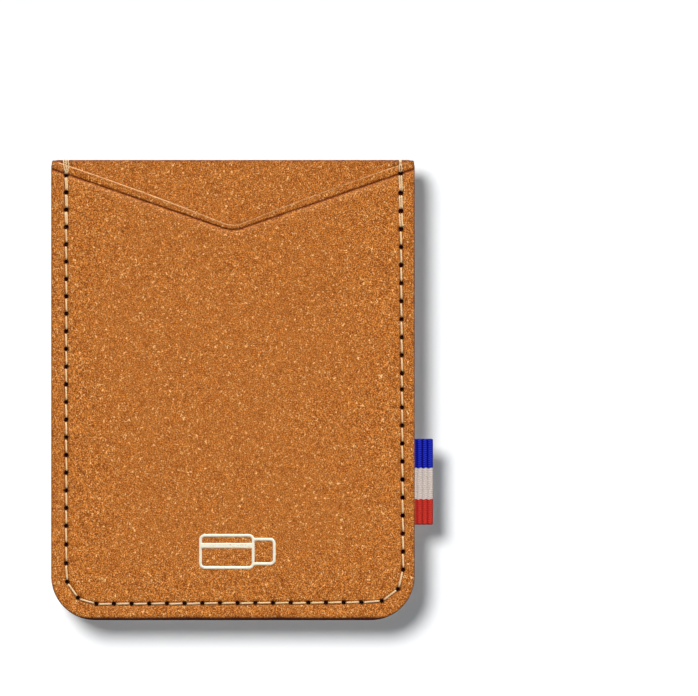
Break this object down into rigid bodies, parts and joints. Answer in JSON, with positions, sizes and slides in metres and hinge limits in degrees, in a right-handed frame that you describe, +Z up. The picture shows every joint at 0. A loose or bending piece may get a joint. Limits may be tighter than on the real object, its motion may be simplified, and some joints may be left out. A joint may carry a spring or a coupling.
{
  "type": "phone card wallet",
  "caption": "Flat sewn leather pocket for a bank card, with a V-cut mouth, a striped ribbon loop in its side seam and an adhesive back that fastens to a phone.",
  "frame": {"origin": "centre of the adhesive sheet's outer face, which is also half-way up and half-way across the leather body", "axes": "+Y out of the back, towards the phone; the front faces -Y; +Z up, out of the pocket's mouth; +X to the right seen from the front, where the ribbon loop is"},
  "size_m": [0.0652, 0.0038, 0.079],
  "materials": {
    "leather": "tan bonded leather, satin, with pale fibre flecks and dark burnished cut edges",
    "thread": "cream twisted sewing thread",
    "ribbon": "ribbed ribbon in three equal stripes: blue, off-white and red",
    "adhesive": "milky double-sided adhesive sheet, soft sheen",
    "foil": "matt cream hot-stamping foil"
  },
  "bodies": {
    "wallet": {"back_panel": "leather", "seam_spacer": "leather", "front_panel": "leather", "needle_thread": "thread", "bobbin_thread": "thread", "ribbon_tails": "ribbon", "adhesive_sheet": "adhesive", "foil_mark": "foil"},
    "ribbon": {"ribbon_loop": "ribbon"}
  },
  "joints": [
    {"name": "ribbon_flex", "type": "hinge", "parent": "wallet", "child": "ribbon", "pos_m": [0.03147, -0.0019, -0.01565], "axis": [0, 0, 1], "range_deg": [-80, 35], "stiffness_Nm_per_rad": 0.0002}
  ]
}
